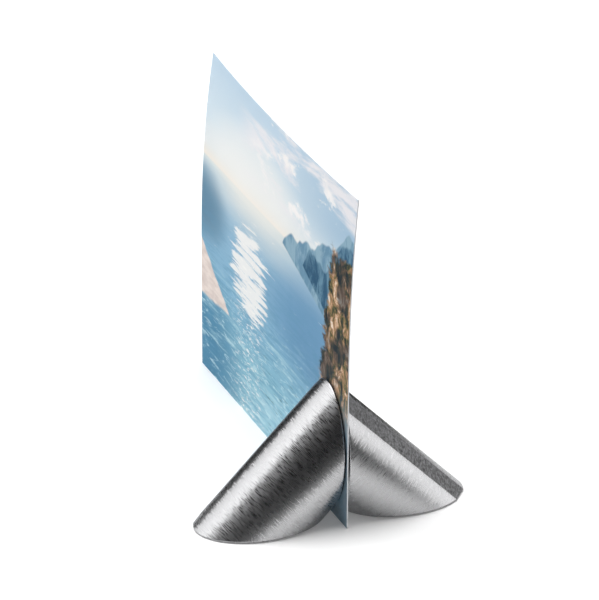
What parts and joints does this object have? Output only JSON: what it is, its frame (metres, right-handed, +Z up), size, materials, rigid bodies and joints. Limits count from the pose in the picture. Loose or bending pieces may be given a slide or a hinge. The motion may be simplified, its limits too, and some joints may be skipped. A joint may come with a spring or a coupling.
{
  "type": "card holder",
  "caption": "Magnetic desk card holder: slanted wedges cut from round steel bar, drawn together by inlaid magnets, with soft pads that hold a picture card upright.",
  "frame": {"origin": "on the table top, under the middle of the model's whole box, card included", "axes": "+X from the left wedge through the card to the right wedge; +Y along the card, away from the viewer; +Z up"},
  "size_m": [0.0904, 0.128, 0.111],
  "materials": {
    "wedge_steel": "satin, brushed around the bar, with a dark dull land along one side",
    "magnet_nickel": "bright nickel plating",
    "grip_rubber": "matt black soft sheet",
    "foot_rubber": "matt dark grey sheet",
    "card_print": "glossy print with white edges and a white back"
  },
  "bodies": {
    "left_wedge": {"left_body": "wedge_steel", "left_upper_magnet": "magnet_nickel", "left_lower_magnet": "magnet_nickel", "left_grip_pad": "grip_rubber", "left_foot_pad": "foot_rubber"},
    "right_wedge": {"right_body": "wedge_steel", "right_upper_magnet": "magnet_nickel", "right_lower_magnet": "magnet_nickel", "right_grip_pad": "grip_rubber", "right_foot_pad": "foot_rubber"},
    "card": {"card": "card_print"}
  },
  "joints": [
    {"name": "right_wedge_pull", "type": "slide", "parent": "left_wedge", "child": "right_wedge", "axis": [1, 0, 0], "range_m": [0, 0.03]},
    {"name": "card_lift", "type": "slide", "parent": "left_wedge", "child": "card", "axis": [0, 0, 1], "range_m": [0, 0.05]}
  ]
}
